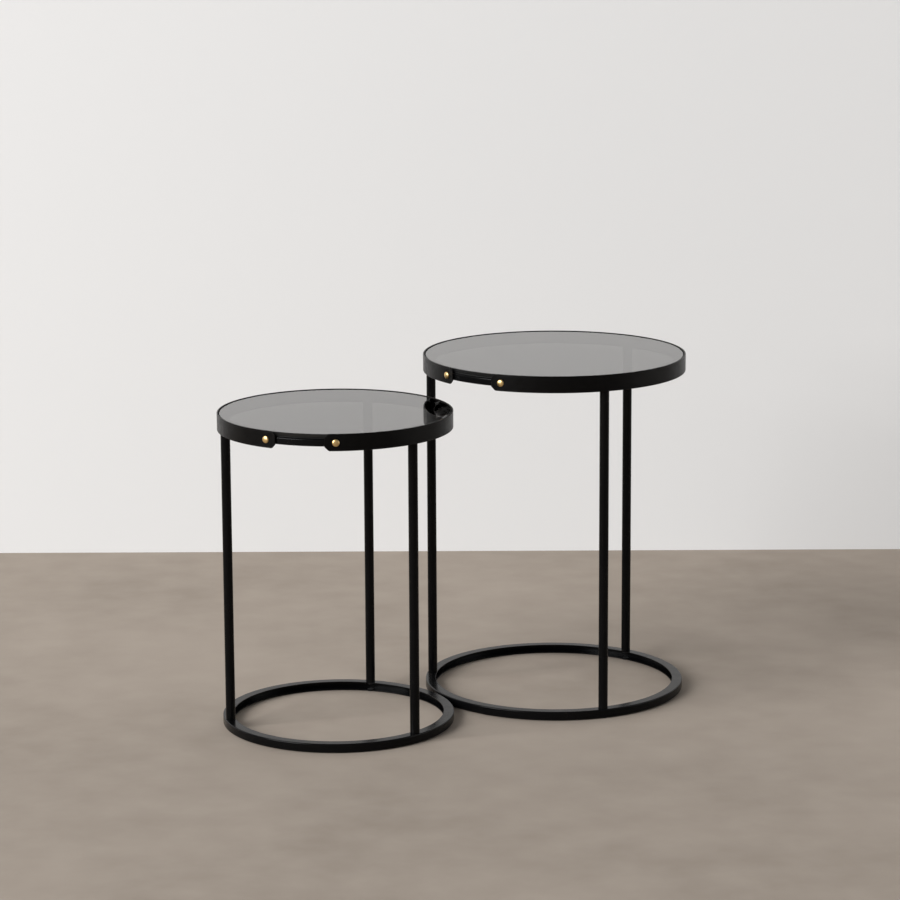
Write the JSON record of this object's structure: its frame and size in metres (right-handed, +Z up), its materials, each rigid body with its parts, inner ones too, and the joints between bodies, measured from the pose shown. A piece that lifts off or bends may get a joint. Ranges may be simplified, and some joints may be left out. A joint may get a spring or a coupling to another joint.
{
  "type": "nesting tables",
  "caption": "Pair of round side tables of different height with smoked glass tops, leather rim straps with brass studs, tube legs and ring bases.",
  "frame": {"origin": "on the floor, at the middle of the pair's bounding box", "axes": "+Z up, +X along the pair's longest extent, to the right as seen from the front; the front is -Y, where the small table and the strap ends are"},
  "size_m": [0.801, 0.6303, 0.596],
  "materials": {
    "black_powder_coat": "satin black powder coat",
    "black_leather": "smooth black vegetable-tanned leather, cut edges",
    "smoked_glass": "polished grey smoked glass",
    "satin_brass": "satin brass",
    "black_zinc_steel": "black zinc plate",
    "black_rubber": "matt",
    "black_nylon": "matt"
  },
  "bodies": {
    "large_table": {"large_base_ring": "black_powder_coat", "large_top_ring": "black_powder_coat", "large_leg_left": "black_powder_coat", "large_leg_front": "black_powder_coat", "large_leg_back": "black_powder_coat", "large_leather_strap": "black_leather", "large_glass_gasket": "black_rubber", "large_strap_stud_left": "satin_brass", "large_stud_nut_left": "satin_brass", "large_strap_stud_right": "satin_brass", "large_stud_nut_right": "satin_brass", "large_foot_insert_left": "black_zinc_steel", "large_head_insert_left": "black_zinc_steel", "large_foot_screw_left": "black_zinc_steel", "large_head_screw_left": "black_zinc_steel", "large_floor_pad_left": "black_nylon", "large_foot_insert_front": "black_zinc_steel", "large_head_insert_front": "black_zinc_steel", "large_foot_screw_front": "black_zinc_steel", "large_head_screw_front": "black_zinc_steel", "large_floor_pad_front": "black_nylon", "large_foot_insert_back": "black_zinc_steel", "large_head_insert_back": "black_zinc_steel", "large_foot_screw_back": "black_zinc_steel", "large_head_screw_back": "black_zinc_steel", "large_floor_pad_back": "black_nylon"},
    "small_table": {"small_base_ring": "black_powder_coat", "small_top_ring": "black_powder_coat", "small_leg_left": "black_powder_coat", "small_leg_front": "black_powder_coat", "small_leg_back": "black_powder_coat", "small_leather_strap": "black_leather", "small_glass_gasket": "black_rubber", "small_strap_stud_left": "satin_brass", "small_stud_nut_left": "satin_brass", "small_strap_stud_right": "satin_brass", "small_stud_nut_right": "satin_brass", "small_foot_insert_left": "black_zinc_steel", "small_head_insert_left": "black_zinc_steel", "small_foot_screw_left": "black_zinc_steel", "small_head_screw_left": "black_zinc_steel", "small_floor_pad_left": "black_nylon", "small_foot_insert_front": "black_zinc_steel", "small_head_insert_front": "black_zinc_steel", "small_foot_screw_front": "black_zinc_steel", "small_head_screw_front": "black_zinc_steel", "small_floor_pad_front": "black_nylon", "small_foot_insert_back": "black_zinc_steel", "small_head_insert_back": "black_zinc_steel", "small_foot_screw_back": "black_zinc_steel", "small_head_screw_back": "black_zinc_steel", "small_floor_pad_back": "black_nylon"},
    "large_glass": {"large_glass_top": "smoked_glass"},
    "small_glass": {"small_glass_top": "smoked_glass"}
  },
  "joints": [
    {"name": "small_table_slide", "type": "slide", "parent": "large_table", "child": "small_table", "axis": [-0.8805, -0.4741, 0], "range_m": [0, 0.4]},
    {"name": "large_glass_lift", "type": "slide", "parent": "large_table", "child": "large_glass", "axis": [0, 0, 1], "range_m": [0, 0.08]},
    {"name": "small_glass_lift", "type": "slide", "parent": "small_table", "child": "small_glass", "axis": [0, 0, 1], "range_m": [0, 0.08]}
  ]
}
